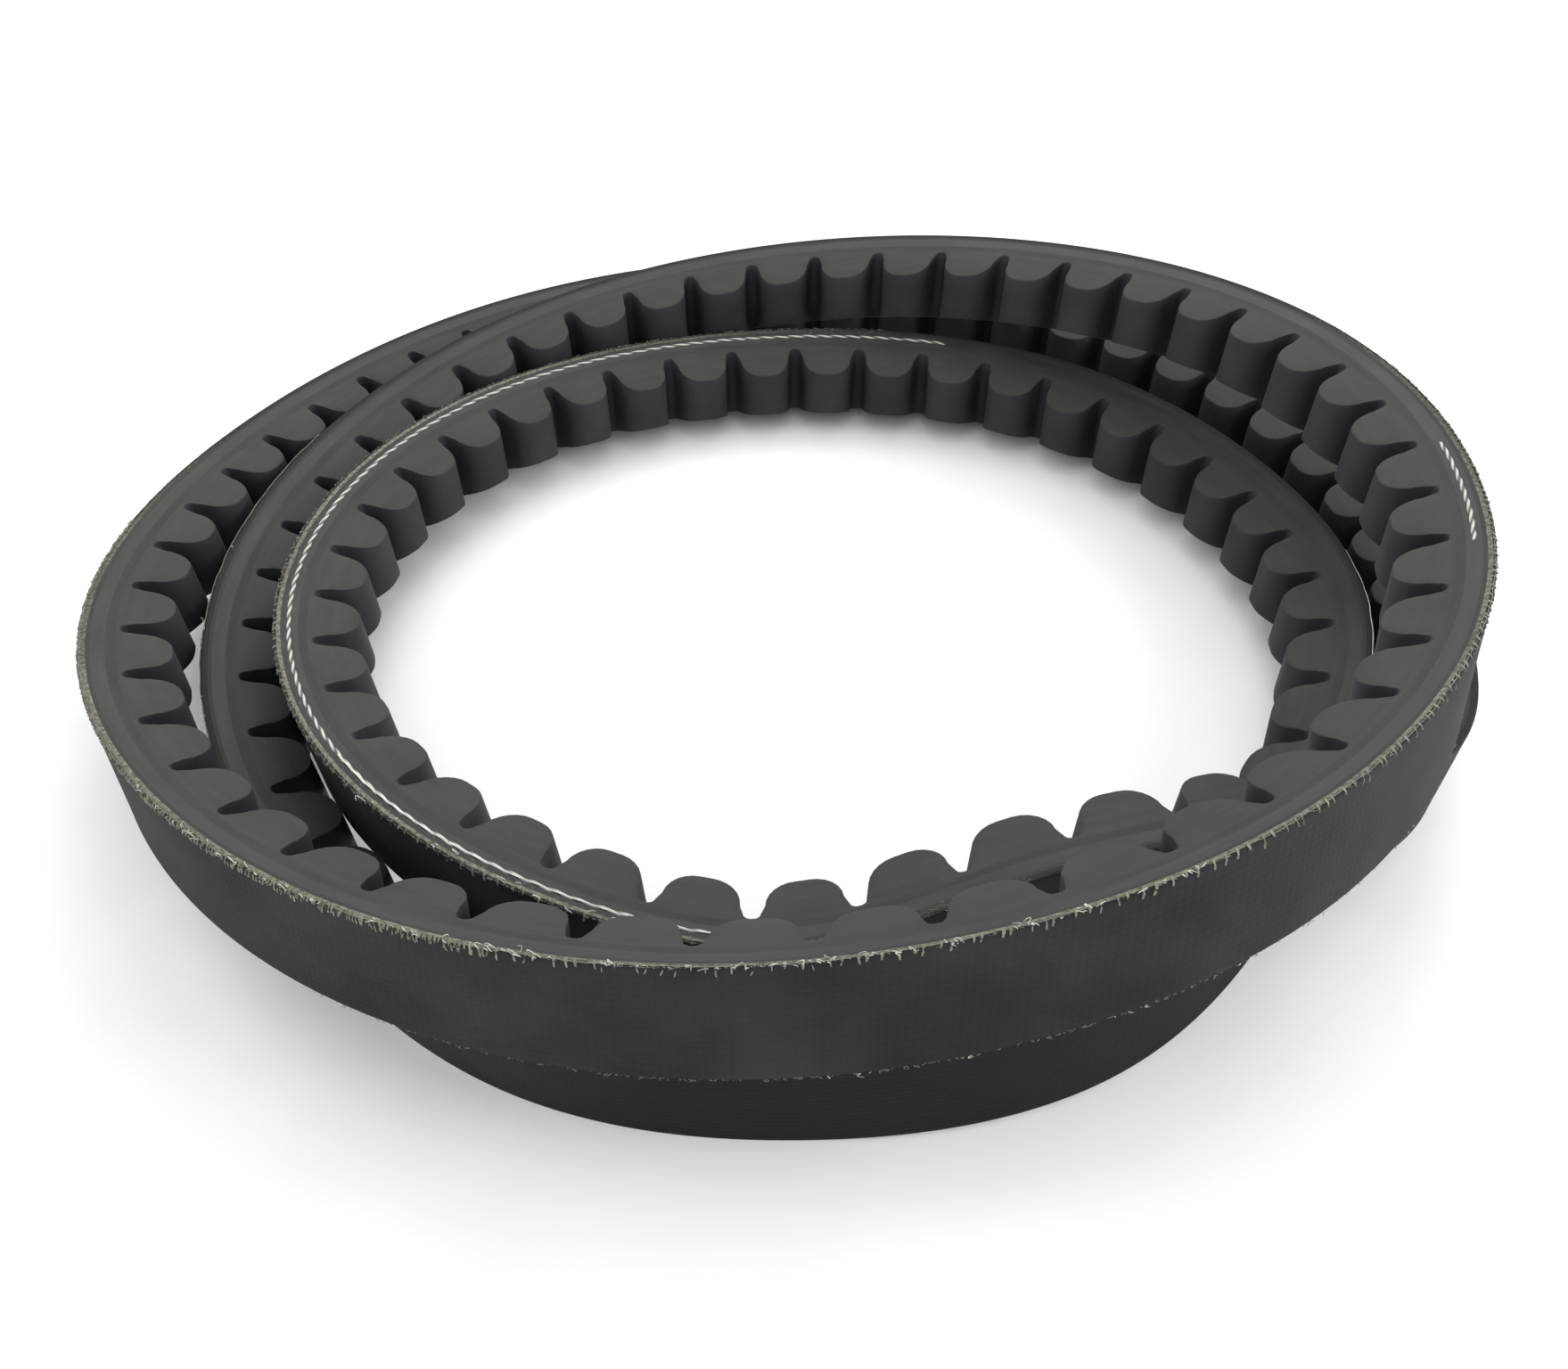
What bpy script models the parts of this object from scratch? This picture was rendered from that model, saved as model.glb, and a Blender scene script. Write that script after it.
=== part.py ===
"""V belt: an endless raw-edge cogged belt at rest on a table, coiled on its edge in three turns.

Lengths in the constants are millimetres; the objects are built in metres with +Z up.
The belt is one closed strand. Its route is the middle of the back face: a radius, a height
and a roll for each step of azimuth, running three times round the coil before it closes.
The first turn passes under the second at the back and over the third at the front right,
so the strand closes on itself without a twist. Depth is measured from the back face
towards the cogs, and width runs up the section from its lower raw edge to its upper one.
Every layer is cut from the same stations along the route, so the layers nest with a
constant gap between them.
"""

import math

import bmesh
import bpy
import numpy as np

MM = 0.001

# Belt section
TOP_WIDTH = 15.5
THICKNESS = 10.6
WEDGE_HALF_ANGLE = math.radians(20.0)
SHARP_ANGLE = math.radians(30.0)
COG_COUNT = 131

# Depth of each bonded layer below the back face: (start, end)
OUTER_PLY = (0.0, 0.38)
INNER_PLY = (0.50, 0.88)
OVERCORD = (1.00, 1.36)
UPPER_GUM = (1.48, 1.70)
LOWER_GUM = (2.70, 3.00)
UNDERCORD = (3.12, 4.10)
COG_PAD_START = 4.22
NOTCH_DEPTH = 4.7

# Helically wound tensile cord
CORD_DEPTH = 2.20
CORD_RADIUS = 0.30
CORD_WRAPS = 5
CORD_SIDES = 3
CORD_EDGE_MARGIN = 0.05

# One cog, as (fraction of the pitch from a notch centre, depth of the cog face)
COG_PROFILE = (
    (0.00, NOTCH_DEPTH),
    (0.12, NOTCH_DEPTH + 0.55),
    (0.27, THICKNESS),
    (0.73, THICKNESS),
    (0.88, NOTCH_DEPTH + 0.55),
)

# Route keys at equal steps of azimuth from +X, anticlockwise seen from above:
# (radius, height, roll of the section in degrees)
KEY_STEP = 30.0
ROUTE_KEYS = (
    (90.0, 9.5, 3.0),
    (105.0, 8.5, 4.0),
    (116.0, 8.0, 6.0),
    (120.5, 8.0, 7.0),
    (116.5, 8.0, 9.0),
    (106.0, 10.0, 9.0),
    (94.0, 16.5, 4.0),
    (81.0, 22.5, -2.0),
    (71.5, 26.5, -5.0),
    (67.0, 29.0, -8.0),
    (72.5, 38.0, -8.0),
    (77.0, 39.0, -8.0),
    (83.5, 35.5, -1.0),
    (92.5, 32.0, 5.0),
    (100.5, 26.0, 6.0),
    (104.5, 19.0, 6.0),
    (101.0, 13.5, 6.0),
    (92.5, 9.0, 6.0),
    (80.5, 8.0, 6.0),
    (71.0, 8.0, 6.0),
    (66.5, 8.0, 6.0),
    (63.0, 8.0, 4.0),
    (65.0, 9.5, -2.0),
    (66.0, 8.0, -8.0),
    (76.5, 10.5, 0.0),
    (87.0, 8.5, 3.0),
    (93.5, 8.0, 3.0),
    (92.5, 8.0, 2.0),
    (89.0, 9.0, 3.0),
    (80.5, 11.0, 4.0),
    (69.5, 13.5, 5.0),
    (60.5, 16.5, 7.0),
    (55.5, 17.5, 8.0),
    (52.5, 15.5, 8.0),
    (56.5, 24.0, 7.0),
    (74.0, 22.5, 5.0),
)

# Finish: (red, green, blue), roughness
FABRIC_FINISH = ((0.105, 0.105, 0.108), 0.90)
INNER_FABRIC_FINISH = ((0.30, 0.29, 0.25), 0.92)
OVERCORD_FINISH = ((0.080, 0.080, 0.083), 0.75)
GUM_FINISH = ((0.060, 0.060, 0.063), 0.60)
CORD_FINISH = ((0.78, 0.77, 0.72), 0.70)
UNDERCORD_FINISH = ((0.085, 0.085, 0.088), 0.78)
COG_FINISH = ((0.075, 0.077, 0.082), 0.80)


def clear_scene():
    for item in list(bpy.data.objects):
        bpy.data.objects.remove(item, do_unlink=True)


def make_material(name, finish):
    colour, roughness = finish
    material = bpy.data.materials.new(name)
    material.use_nodes = True
    shader = material.node_tree.nodes["Principled BSDF"]
    shader.inputs["Base Color"].default_value = (*colour, 1.0)
    shader.inputs["Roughness"].default_value = roughness
    shader.inputs["Metallic"].default_value = 0.0
    material.diffuse_color = (*colour, 1.0)
    return material


def periodic_bends(values):
    """Second differences of the smooth closed curve through evenly spaced values."""
    count = len(values)
    matrix = np.zeros((count, count))
    right = np.zeros(count)
    for row in range(count):
        before = (row - 1) % count
        after = (row + 1) % count
        matrix[row, before] += 1.0
        matrix[row, row] += 4.0
        matrix[row, after] += 1.0
        right[row] = 6.0 * (values[before] - 2.0 * values[row] + values[after])
    return np.linalg.solve(matrix, right)


def smooth_value(values, bends, position):
    """Value and slope of the closed curve at a position counted in keys."""
    count = len(values)
    low = int(math.floor(position)) % count
    high = (low + 1) % count
    part = position - math.floor(position)
    rest = 1.0 - part
    value = rest * values[low] + part * values[high]
    value += ((rest ** 3 - rest) * bends[low] + (part ** 3 - part) * bends[high]) / 6.0
    slope = values[high] - values[low]
    slope += ((1.0 - 3.0 * rest ** 2) * bends[low] + (3.0 * part ** 2 - 1.0) * bends[high]) / 6.0
    return value, slope


class Route:
    """The closed route, and the section frame carried along it."""

    def __init__(self):
        columns = np.array(ROUTE_KEYS, dtype=float).T
        self.columns = [(column, periodic_bends(column)) for column in columns]
        self.turn = KEY_STEP * len(ROUTE_KEYS)

    def frame(self, azimuth):
        """Middle of the back face, inward direction and upward direction of the section."""
        position = azimuth / KEY_STEP
        radius, radius_slope = smooth_value(*self.columns[0], position)
        height = smooth_value(*self.columns[1], position)[0]
        roll = math.radians(smooth_value(*self.columns[2], position)[0])
        angle = math.radians(azimuth)
        growth = radius_slope / math.radians(KEY_STEP)
        tangent_x = growth * math.cos(angle) - radius * math.sin(angle)
        tangent_y = growth * math.sin(angle) + radius * math.cos(angle)
        length = math.hypot(tangent_x, tangent_y)
        outward = np.array([tangent_y / length, -tangent_x / length, 0.0])
        vertical = np.array([0.0, 0.0, 1.0])
        middle = np.array([
            radius * math.cos(angle),
            radius * math.sin(angle),
            height,
        ])
        inward = vertical * math.sin(roll) - outward * math.cos(roll)
        upward = vertical * math.cos(roll) + outward * math.sin(roll)
        return middle, inward, upward

    def stations(self, count):
        """Section frames at equal lengths along the cord line, all the way round."""
        samples = int(self.turn)
        azimuths = np.linspace(0.0, self.turn, samples + 1)
        points = []
        for azimuth in azimuths:
            middle, inward, _ = self.frame(azimuth)
            points.append(middle + CORD_DEPTH * inward)
        steps = np.linalg.norm(np.diff(np.array(points), axis=0), axis=1)
        lengths = np.concatenate([[0.0], np.cumsum(steps)])
        wanted = np.arange(count) * lengths[-1] / count
        return [self.frame(azimuth) for azimuth in np.interp(wanted, lengths, azimuths)]


def half_width(depth):
    return TOP_WIDTH / 2.0 - depth * math.tan(WEDGE_HALF_ANGLE)


def section_point(frame, depth, width):
    middle, inward, upward = frame
    return middle + depth * inward + width * upward


def blend_frames(first, second, part):
    return tuple(a + (b - a) * part for a, b in zip(first, second))


def centred(frames):
    """The same frames moved so that the belt's box stands centred on the origin."""
    corners = []
    for frame in frames:
        for depth in (0.0, THICKNESS):
            corners.append(section_point(frame, depth, half_width(depth)))
            corners.append(section_point(frame, depth, -half_width(depth)))
    low = np.min(corners, axis=0)
    high = np.max(corners, axis=0)
    shift = np.array([(low[0] + high[0]) / 2.0, (low[1] + high[1]) / 2.0, low[2]])
    return [(middle - shift, inward, upward) for middle, inward, upward in frames]


def closed_strip(rings):
    """Faces of a closed loop of equal rings. Both broad sides split on the same diagonal."""
    sides = len(rings[0])
    vertices = [point for ring in rings for point in ring]
    faces = []
    for index in range(len(rings)):
        here = index * sides
        there = ((index + 1) % len(rings)) * sides
        for side in range(sides - 1):
            other = side + 1
            faces.append((here + side, here + other, there + other))
            faces.append((here + side, there + other, there + side))
        last = sides - 1
        faces.append((here + last, here, there + last))
        faces.append((here, there, there + last))
    return vertices, faces


def build_object(name, vertices, faces, finish, smooth):
    mesh = bpy.data.meshes.new(name)
    scaled = [tuple(float(value) * MM for value in point) for point in vertices]
    mesh.from_pydata(scaled, [], faces)
    work = bmesh.new()
    work.from_mesh(mesh)
    bmesh.ops.recalc_face_normals(work, faces=work.faces)
    if work.calc_volume(signed=True) < 0.0:
        bmesh.ops.reverse_faces(work, faces=work.faces)
    work.to_mesh(mesh)
    work.free()
    mesh.materials.append(make_material(name + "_finish", finish))
    if smooth:
        mesh.shade_smooth()
        mesh.set_sharp_from_angle(angle=SHARP_ANGLE)
    item = bpy.data.objects.new(name, mesh)
    bpy.context.scene.collection.objects.link(item)
    return item


def layer_ring(frame, start, end):
    top_start = half_width(start)
    top_end = half_width(end)
    return [
        section_point(frame, start, top_start),
        section_point(frame, end, top_end),
        section_point(frame, end, -top_end),
        section_point(frame, start, -top_start),
    ]


def build_layer(name, frames, depths, finish):
    rings = [layer_ring(frame, *depths) for frame in frames]
    vertices, faces = closed_strip(rings)
    return build_object(name, vertices, faces, finish, False)


def cog_pitch_points(frame, following):
    """Bond face edge, then the cog face edges, of one pitch: upper and lower in turn."""
    points = []
    for side in (1.0, -1.0):
        points.append(section_point(frame, COG_PAD_START, side * half_width(COG_PAD_START)))
    for part, depth in COG_PROFILE:
        between = blend_frames(frame, following, part)
        for side in (1.0, -1.0):
            points.append(section_point(between, depth, side * half_width(depth)))
    return points


def flank_faces(edge, next_edge, profile):
    """Triangles of one raw edge between the bond face and the cog face."""
    middle = len(profile) // 2
    faces = []
    for step in range(len(profile) - 1):
        corner = edge if step < middle else next_edge
        faces.append((corner, profile[step], profile[step + 1]))
    faces.append((edge, profile[middle], next_edge))
    return faces


def build_cog_pad(frames):
    """Bond face in whole pitches, to match the layer above, and a moulded cog face."""
    steps = len(COG_PROFILE)
    per_pitch = 2 + 2 * steps
    vertices = []
    faces = []
    for index, frame in enumerate(frames):
        vertices.extend(cog_pitch_points(frame, frames[(index + 1) % len(frames)]))
    for index in range(len(frames)):
        here = index * per_pitch
        there = ((index + 1) % len(frames)) * per_pitch
        faces.append((here, here + 1, there + 1))
        faces.append((here, there + 1, there))
        rows = [here + 2 + 2 * step for step in range(steps)] + [there + 2]
        for row, after in zip(rows, rows[1:]):
            faces.append((row, row + 1, after + 1))
            faces.append((row, after + 1, after))
        faces.extend(flank_faces(here, there, rows))
        faces.extend(flank_faces(here + 1, there + 1, [row + 1 for row in rows]))
    return build_object("cog_pad", vertices, faces, COG_FINISH, False)


def cord_ring(frame, width):
    ring = []
    for side in range(CORD_SIDES):
        angle = 2.0 * math.pi * side / CORD_SIDES
        depth = CORD_DEPTH + CORD_RADIUS * math.cos(angle)
        ring.append(section_point(frame, depth, width + CORD_RADIUS * math.sin(angle)))
    return ring


def build_tensile_cord(frames):
    """One cord wound side by side from the lower raw edge to the upper one."""
    reach = half_width(CORD_DEPTH + CORD_RADIUS) - CORD_RADIUS - CORD_EDGE_MARGIN
    total = CORD_WRAPS * len(frames)
    vertices = []
    faces = []
    for index in range(total + 1):
        width = -reach + 2.0 * reach * index / total
        vertices.extend(cord_ring(frames[index % len(frames)], width))
    for index in range(total):
        here = index * CORD_SIDES
        there = here + CORD_SIDES
        for side in range(CORD_SIDES):
            other = (side + 1) % CORD_SIDES
            faces.append((here + side, here + other, there + other))
            faces.append((here + side, there + other, there + side))
    last = total * CORD_SIDES
    faces.append(tuple(range(CORD_SIDES)))
    faces.append(tuple(last + side for side in reversed(range(CORD_SIDES))))
    return build_object("tensile_cord", vertices, faces, CORD_FINISH, True)


def build_belt():
    frames = centred(Route().stations(COG_COUNT))
    build_layer("outer_fabric_ply", frames, OUTER_PLY, FABRIC_FINISH)
    build_layer("inner_fabric_ply", frames, INNER_PLY, INNER_FABRIC_FINISH)
    build_layer("overcord_rubber", frames, OVERCORD, OVERCORD_FINISH)
    build_layer("upper_cushion_gum", frames, UPPER_GUM, GUM_FINISH)
    build_tensile_cord(frames)
    build_layer("lower_cushion_gum", frames, LOWER_GUM, GUM_FINISH)
    build_layer("undercord_rubber", frames, UNDERCORD, UNDERCORD_FINISH)
    build_cog_pad(frames)


clear_scene()
build_belt()
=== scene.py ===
"""Looks for the cogged V belt: fine layer meshes, twisted cord, frayed edges, floor and light.

Lengths of the belt and camera are in millimetres and are turned into metres by MM. The route
and the section repeat the CAD part, so every fine piece lies where the CAD node that it
stands for lies.
"""

import math

import bpy
import numpy as np
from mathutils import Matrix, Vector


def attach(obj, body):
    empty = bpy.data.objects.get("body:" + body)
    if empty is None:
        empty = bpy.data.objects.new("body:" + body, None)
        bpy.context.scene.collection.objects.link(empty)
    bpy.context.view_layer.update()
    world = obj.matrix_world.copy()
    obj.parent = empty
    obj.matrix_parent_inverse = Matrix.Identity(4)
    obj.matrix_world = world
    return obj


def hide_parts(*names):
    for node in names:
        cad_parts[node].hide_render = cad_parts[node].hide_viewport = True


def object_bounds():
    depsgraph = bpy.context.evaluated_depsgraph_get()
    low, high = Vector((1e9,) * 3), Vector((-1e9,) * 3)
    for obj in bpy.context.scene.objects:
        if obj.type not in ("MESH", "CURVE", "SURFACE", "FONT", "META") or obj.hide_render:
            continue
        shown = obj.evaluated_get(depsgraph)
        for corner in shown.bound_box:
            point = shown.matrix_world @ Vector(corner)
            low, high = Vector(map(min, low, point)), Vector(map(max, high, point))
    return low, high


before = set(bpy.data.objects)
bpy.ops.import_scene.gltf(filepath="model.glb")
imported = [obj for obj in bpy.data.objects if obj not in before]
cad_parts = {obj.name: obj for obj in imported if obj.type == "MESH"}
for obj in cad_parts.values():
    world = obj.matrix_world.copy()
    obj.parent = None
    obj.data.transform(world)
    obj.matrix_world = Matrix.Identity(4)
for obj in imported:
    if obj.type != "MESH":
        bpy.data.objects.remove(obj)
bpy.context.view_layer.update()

MM = 0.001
ROOT = "root"

# Belt section, in millimetres
TOP_WIDTH = 15.5
THICKNESS = 10.6
WEDGE_SLOPE = math.tan(math.radians(20.0))
COG_COUNT = 131
CORD_DEPTH = 2.20

# Layers under the back fabric, without the small gaps that the CAD keeps: depth (start, end)
INNER_PLY = (0.44, 0.94)
OVERCORD = (0.94, 1.42)
UPPER_GUM = (1.42, 2.20)
LOWER_GUM = (2.20, 3.06)
UNDERCORD = (3.06, 4.16)
COG_PAD_START = 4.16
NOTCH_DEPTH = 4.7

# Cog shape: half sizes of the notch and the radii of its root and of the cog's tip
ROOT_FLAT = 0.15
ROOT_ROUND = 0.85
MOUTH_HALF = 1.45
TIP_ROUND = 3.7
ROUND_STEPS = 7

# Cog face: places of its middle columns, as shares of the half width, and the wear of its tip
COG_FACE_SHARES = (0.54, 0.0, -0.54)
COG_WEAR = 0.05

# Cut corners of the back fabric: (depth, distance in from the flank)
BACK_CORNER = ((0.44, 0.0), (0.24, 0.01), (0.10, 0.07), (0.02, 0.20), (0.0, 0.38))

# Face of the back: share of the half width that its columns cover, and its unevenness
BACK_REACH = 0.85
BACK_WAVE = 0.02

# Fineness of the meshes
FINE_STEP = 1.25
BACK_COLUMNS = 12
SHARP_ANGLE = math.radians(38.0)

# Tensile cord: its winding, and the lay and groove of its twisted plies
CORD_RADIUS = 0.30
CORD_WRAPS = 5
CORD_LAY = 2.6
CORD_PLIES = 2.0
CORD_GROOVE = 0.16

# Where the cord shows it is lifted towards the back and wanders along the raw edge;
# elsewhere it stays inset from the flank
CORD_LIFT = 0.30
CORD_WANDER = 0.06
CORD_INSET = 0.05

# Fineness of the cord: close rows where it shows, and a margin beyond, with wide rows elsewhere
CORD_COLUMNS = 12
CORD_STEP = 0.28
CORD_INNER_STEP = 5.0
CORD_FINE_MARGIN = 14.0

# Colours, linear
FLANK_DARK = (0.020, 0.0196, 0.0188)
FLANK_LIGHT = (0.034, 0.0332, 0.0315)
GUM_DARK = (0.0170, 0.01666, 0.01598)
# painted shade: near-black fabric colour for the back stretch that lies in the shade under the
# strand above
FABRIC_PAINTED_SHADE = (0.003, 0.003, 0.0033)
FLANK_PLAIN = (0.027, 0.0264, 0.0252)
COG_DARK = (0.008, 0.0085, 0.0105)
COG_LIGHT = (0.020, 0.021, 0.024)
FABRIC_DARK = (0.009, 0.009, 0.010)
FABRIC_LIGHT = (0.023, 0.023, 0.0235)
FIBRE_DARK = (0.075, 0.073, 0.060)
FIBRE_BEIGE = (0.20, 0.195, 0.155)
TORN_DARK = (0.120, 0.117, 0.093)
CORD_DARK = (0.10, 0.10, 0.09)
CORD_LIGHT = (0.52, 0.52, 0.47)
THREAD_DARK = (0.38, 0.38, 0.34)
THREAD_LIGHT = (0.70, 0.70, 0.66)
FLOOR_DARK = (0.86, 0.86, 0.86)
FLOOR_LIGHT = (0.90, 0.90, 0.90)

# Weave of the back fabric: radians per millimetre, and where its edge band starts
WEAVE_TURNS = 3.6
EDGE_BAND = 7.66

# Route keys, the same as the CAD part's, at equal steps of azimuth:
# (radius, height, roll of the section in degrees)
KEY_STEP = 30.0
ROUTE_KEYS = (
    (90.0, 9.5, 3.0),
    (105.0, 8.5, 4.0),
    (116.0, 8.0, 6.0),
    (120.5, 8.0, 7.0),
    (116.5, 8.0, 9.0),
    (106.0, 10.0, 9.0),
    (94.0, 16.5, 4.0),
    (81.0, 22.5, -2.0),
    (71.5, 26.5, -5.0),
    (67.0, 29.0, -8.0),
    (72.5, 38.0, -8.0),
    (77.0, 39.0, -8.0),
    (83.5, 35.5, -1.0),
    (92.5, 32.0, 5.0),
    (100.5, 26.0, 6.0),
    (104.5, 19.0, 6.0),
    (101.0, 13.5, 6.0),
    (92.5, 9.0, 6.0),
    (80.5, 8.0, 6.0),
    (71.0, 8.0, 6.0),
    (66.5, 8.0, 6.0),
    (63.0, 8.0, 4.0),
    (65.0, 9.5, -2.0),
    (66.0, 8.0, -8.0),
    (76.5, 10.5, 0.0),
    (87.0, 8.5, 3.0),
    (93.5, 8.0, 3.0),
    (92.5, 8.0, 2.0),
    (89.0, 9.0, 3.0),
    (80.5, 11.0, 4.0),
    (69.5, 13.5, 5.0),
    (60.5, 16.5, 7.0),
    (55.5, 17.5, 8.0),
    (52.5, 15.5, 8.0),
    (56.5, 24.0, 7.0),
    (74.0, 22.5, 5.0),
)

# Camera: tilt, distance and aim in the uncentred route's frame
CAMERA_TILT = math.radians(41.966)
CAMERA_DISTANCE = 214.74
CAMERA_AIM = (-2.45, 12.90)
CAMERA_LENS = 33.13
CAMERA_SENSOR = 36.0

# Where the cut edges show pale fibres and cord: azimuths along the route, in degrees
FRONT_FRAY = (150.0, 395.0)
INNER_FRAY = (800.0, 1015.0)
CORD_SHOWN = (788.0, 984.0)
SIDE_CORD_SHOWN = (349.0, 373.0)
SIDE_CORD_SHARE = 0.96
# Painted shade: the stretch of the back, in azimuths, darkened where it lies in the shade under
# the strand above, with its share and fade
PAINTED_SHADE_BACK = (585.0, 700.0)
PAINTED_SHADE_SHARE = 0.9
FRONT_FRAY_FADE = 40.0
INNER_FRAY_FADE = 60.0
CORD_FADE = 6.0
SIDE_CORD_FADE = 4.0
PAINTED_SHADE_FADE = 30.0

# Seeds of the random waves along the belt
BACK_SEED = 7
COG_SEED = 47
CORD_SEED = 67

# Loose fibres, and the cut warp ends that hang over the edge as short ticks
FIBRE_SIDES = 3
FIBRE_POINTS = 6
FIBRE_SUNK = 0.08
TUBE_SIDEWAYS = (0.31, 0.52, 0.80)
TICK_START = 0.5
TICK_PROUD = 0.05
TICK_RADIUS = 0.19
THREAD_STEP = 0.6
THREAD_RIPPLE = 0.10

# Floor and world light; the floor's side is in metres
FLOOR_SIZE = 6.0
WORLD_STRENGTH = 1.2


# ---------------------------------------------------------------- route

def periodic_bends(values):
    """Second differences of the smooth closed curve through evenly spaced values."""
    count = len(values)
    matrix = 4.0 * np.eye(count) + np.roll(np.eye(count), 1, 0) + np.roll(np.eye(count), -1, 0)
    right = 6.0 * (np.roll(values, 1) - 2.0 * values + np.roll(values, -1))
    return np.linalg.solve(matrix, right)


def smooth_value(values, bends, position):
    """Value and slope of the closed curve at positions counted in keys."""
    count = len(values)
    whole = np.floor(position)
    low = whole.astype(int) % count
    high = (low + 1) % count
    part = position - whole
    rest = 1.0 - part
    value = rest * values[low] + part * values[high]
    value += ((rest ** 3 - rest) * bends[low] + (part ** 3 - part) * bends[high]) / 6.0
    slope = values[high] - values[low]
    slope += ((1.0 - 3.0 * rest ** 2) * bends[low] + (3.0 * part ** 2 - 1.0) * bends[high]) / 6.0
    return value, slope


def raw_frames(azimuth):
    """Back middle, inward and upward directions at azimuths, before the coil is centred."""
    position = azimuth / KEY_STEP
    radius, radius_slope = smooth_value(KEYS[0], BENDS[0], position)
    height = smooth_value(KEYS[1], BENDS[1], position)[0]
    roll = np.radians(smooth_value(KEYS[2], BENDS[2], position)[0])
    angle = np.radians(azimuth)
    growth = radius_slope / math.radians(KEY_STEP)
    tangent_x = growth * np.cos(angle) - radius * np.sin(angle)
    tangent_y = growth * np.sin(angle) + radius * np.cos(angle)
    length = np.hypot(tangent_x, tangent_y)
    flat = np.zeros_like(length)
    outward = np.stack([tangent_y / length, -tangent_x / length, flat], -1)
    vertical = np.array([0.0, 0.0, 1.0])
    middle = np.stack([radius * np.cos(angle), radius * np.sin(angle), height], -1)
    cosine = np.cos(roll)[:, None]
    sine = np.sin(roll)[:, None]
    return middle, vertical * sine - outward * cosine, vertical * cosine + outward * sine


def half_width(depth):
    """Half of the section's width at a depth below the back."""
    return TOP_WIDTH / 2.0 - depth * WEDGE_SLOPE


KEYS = np.array(ROUTE_KEYS, dtype=float).T
BENDS = [periodic_bends(column) for column in KEYS]
FULL_TURN = KEY_STEP * len(ROUTE_KEYS)


def length_table():
    """Azimuths in whole degrees and the length along the cord line up to each of them."""
    azimuths = np.linspace(0.0, FULL_TURN, int(FULL_TURN) + 1)
    middle, inward, _ = raw_frames(azimuths)
    steps = np.linalg.norm(np.diff(middle + CORD_DEPTH * inward, axis=0), axis=1)
    return azimuths, np.concatenate([[0.0], np.cumsum(steps)])


AZIMUTHS, LENGTHS = length_table()
BELT_LENGTH = LENGTHS[-1]
PITCH = BELT_LENGTH / COG_COUNT


def azimuth_at(length):
    """Azimuth of a place given by its length along the cord line."""
    return np.interp(np.mod(length, BELT_LENGTH), LENGTHS, AZIMUTHS)


def length_at(azimuth):
    """Length along the cord line of a place given by its azimuth."""
    return float(np.interp(azimuth, AZIMUTHS, LENGTHS))


def coil_shift():
    """The move that stands the CAD belt's box centred on the origin."""
    middle, inward, upward = raw_frames(azimuth_at(np.arange(COG_COUNT) * PITCH))
    corners = []
    for depth in (0.0, THICKNESS):
        for side in (1.0, -1.0):
            corners.append(middle + depth * inward + side * half_width(depth) * upward)
    corners = np.concatenate(corners)
    low, high = corners.min(0), corners.max(0)
    return np.array([(low[0] + high[0]) / 2.0, (low[1] + high[1]) / 2.0, low[2]])


SHIFT = coil_shift()


def frames_at(length):
    """Back middle, inward and upward directions at lengths, in the centred coil."""
    middle, inward, upward = raw_frames(azimuth_at(np.asarray(length, dtype=float)))
    return middle - SHIFT, inward, upward


# ---------------------------------------------------------------- mesh helpers

def window(azimuth, span, soft):
    """1 inside the span of azimuths, fading to 0 over soft degrees outside it."""
    rise = np.clip((azimuth - span[0]) / soft, 0.0, 1.0)
    fall = np.clip((span[1] - azimuth) / soft, 0.0, 1.0)
    return rise * fall


def make_mesh(name, vertices, quads, material, layers, replaced=()):
    """A smooth-shaded piece in the row frame with named float layers on its vertices."""
    mesh = bpy.data.meshes.new(name)
    mesh.from_pydata((np.asarray(vertices) * MM).tolist(), [], quads)
    mesh.shade_smooth()
    mesh.set_sharp_from_angle(angle=SHARP_ANGLE)
    for label, values in layers.items():
        attribute = mesh.attributes.new(label, "FLOAT", "POINT")
        attribute.data.foreach_set("value", np.asarray(values, dtype=np.float32).ravel())
    mesh.materials.append(material)
    piece = bpy.data.objects.new(name, mesh)
    bpy.context.scene.collection.objects.link(piece)
    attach(piece, ROOT)
    if replaced:
        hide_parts(*replaced)
    return piece


def loop_quads(rows, sides):
    """Quads of a closed tube of rows of points, each row a closed ring."""
    row = np.arange(rows)[:, None] * sides
    after = ((np.arange(rows) + 1) % rows)[:, None] * sides
    side = np.arange(sides)[None, :]
    other = (side + 1) % sides
    quads = np.stack([row + side, row + other, after + other, after + side], -1)
    return quads.reshape(-1, 4).tolist()


def open_quads(rows, sides):
    """Quads and end caps of an open tube of rows of points."""
    row = np.arange(rows - 1)[:, None] * sides
    side = np.arange(sides)[None, :]
    other = (side + 1) % sides
    quads = np.stack([row + side, row + other, row + sides + other, row + sides + side], -1)
    faces = quads.reshape(-1, 4).tolist()
    faces.append(list(range(sides))[::-1])
    faces.append([(rows - 1) * sides + step for step in range(sides)])
    return faces


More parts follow.
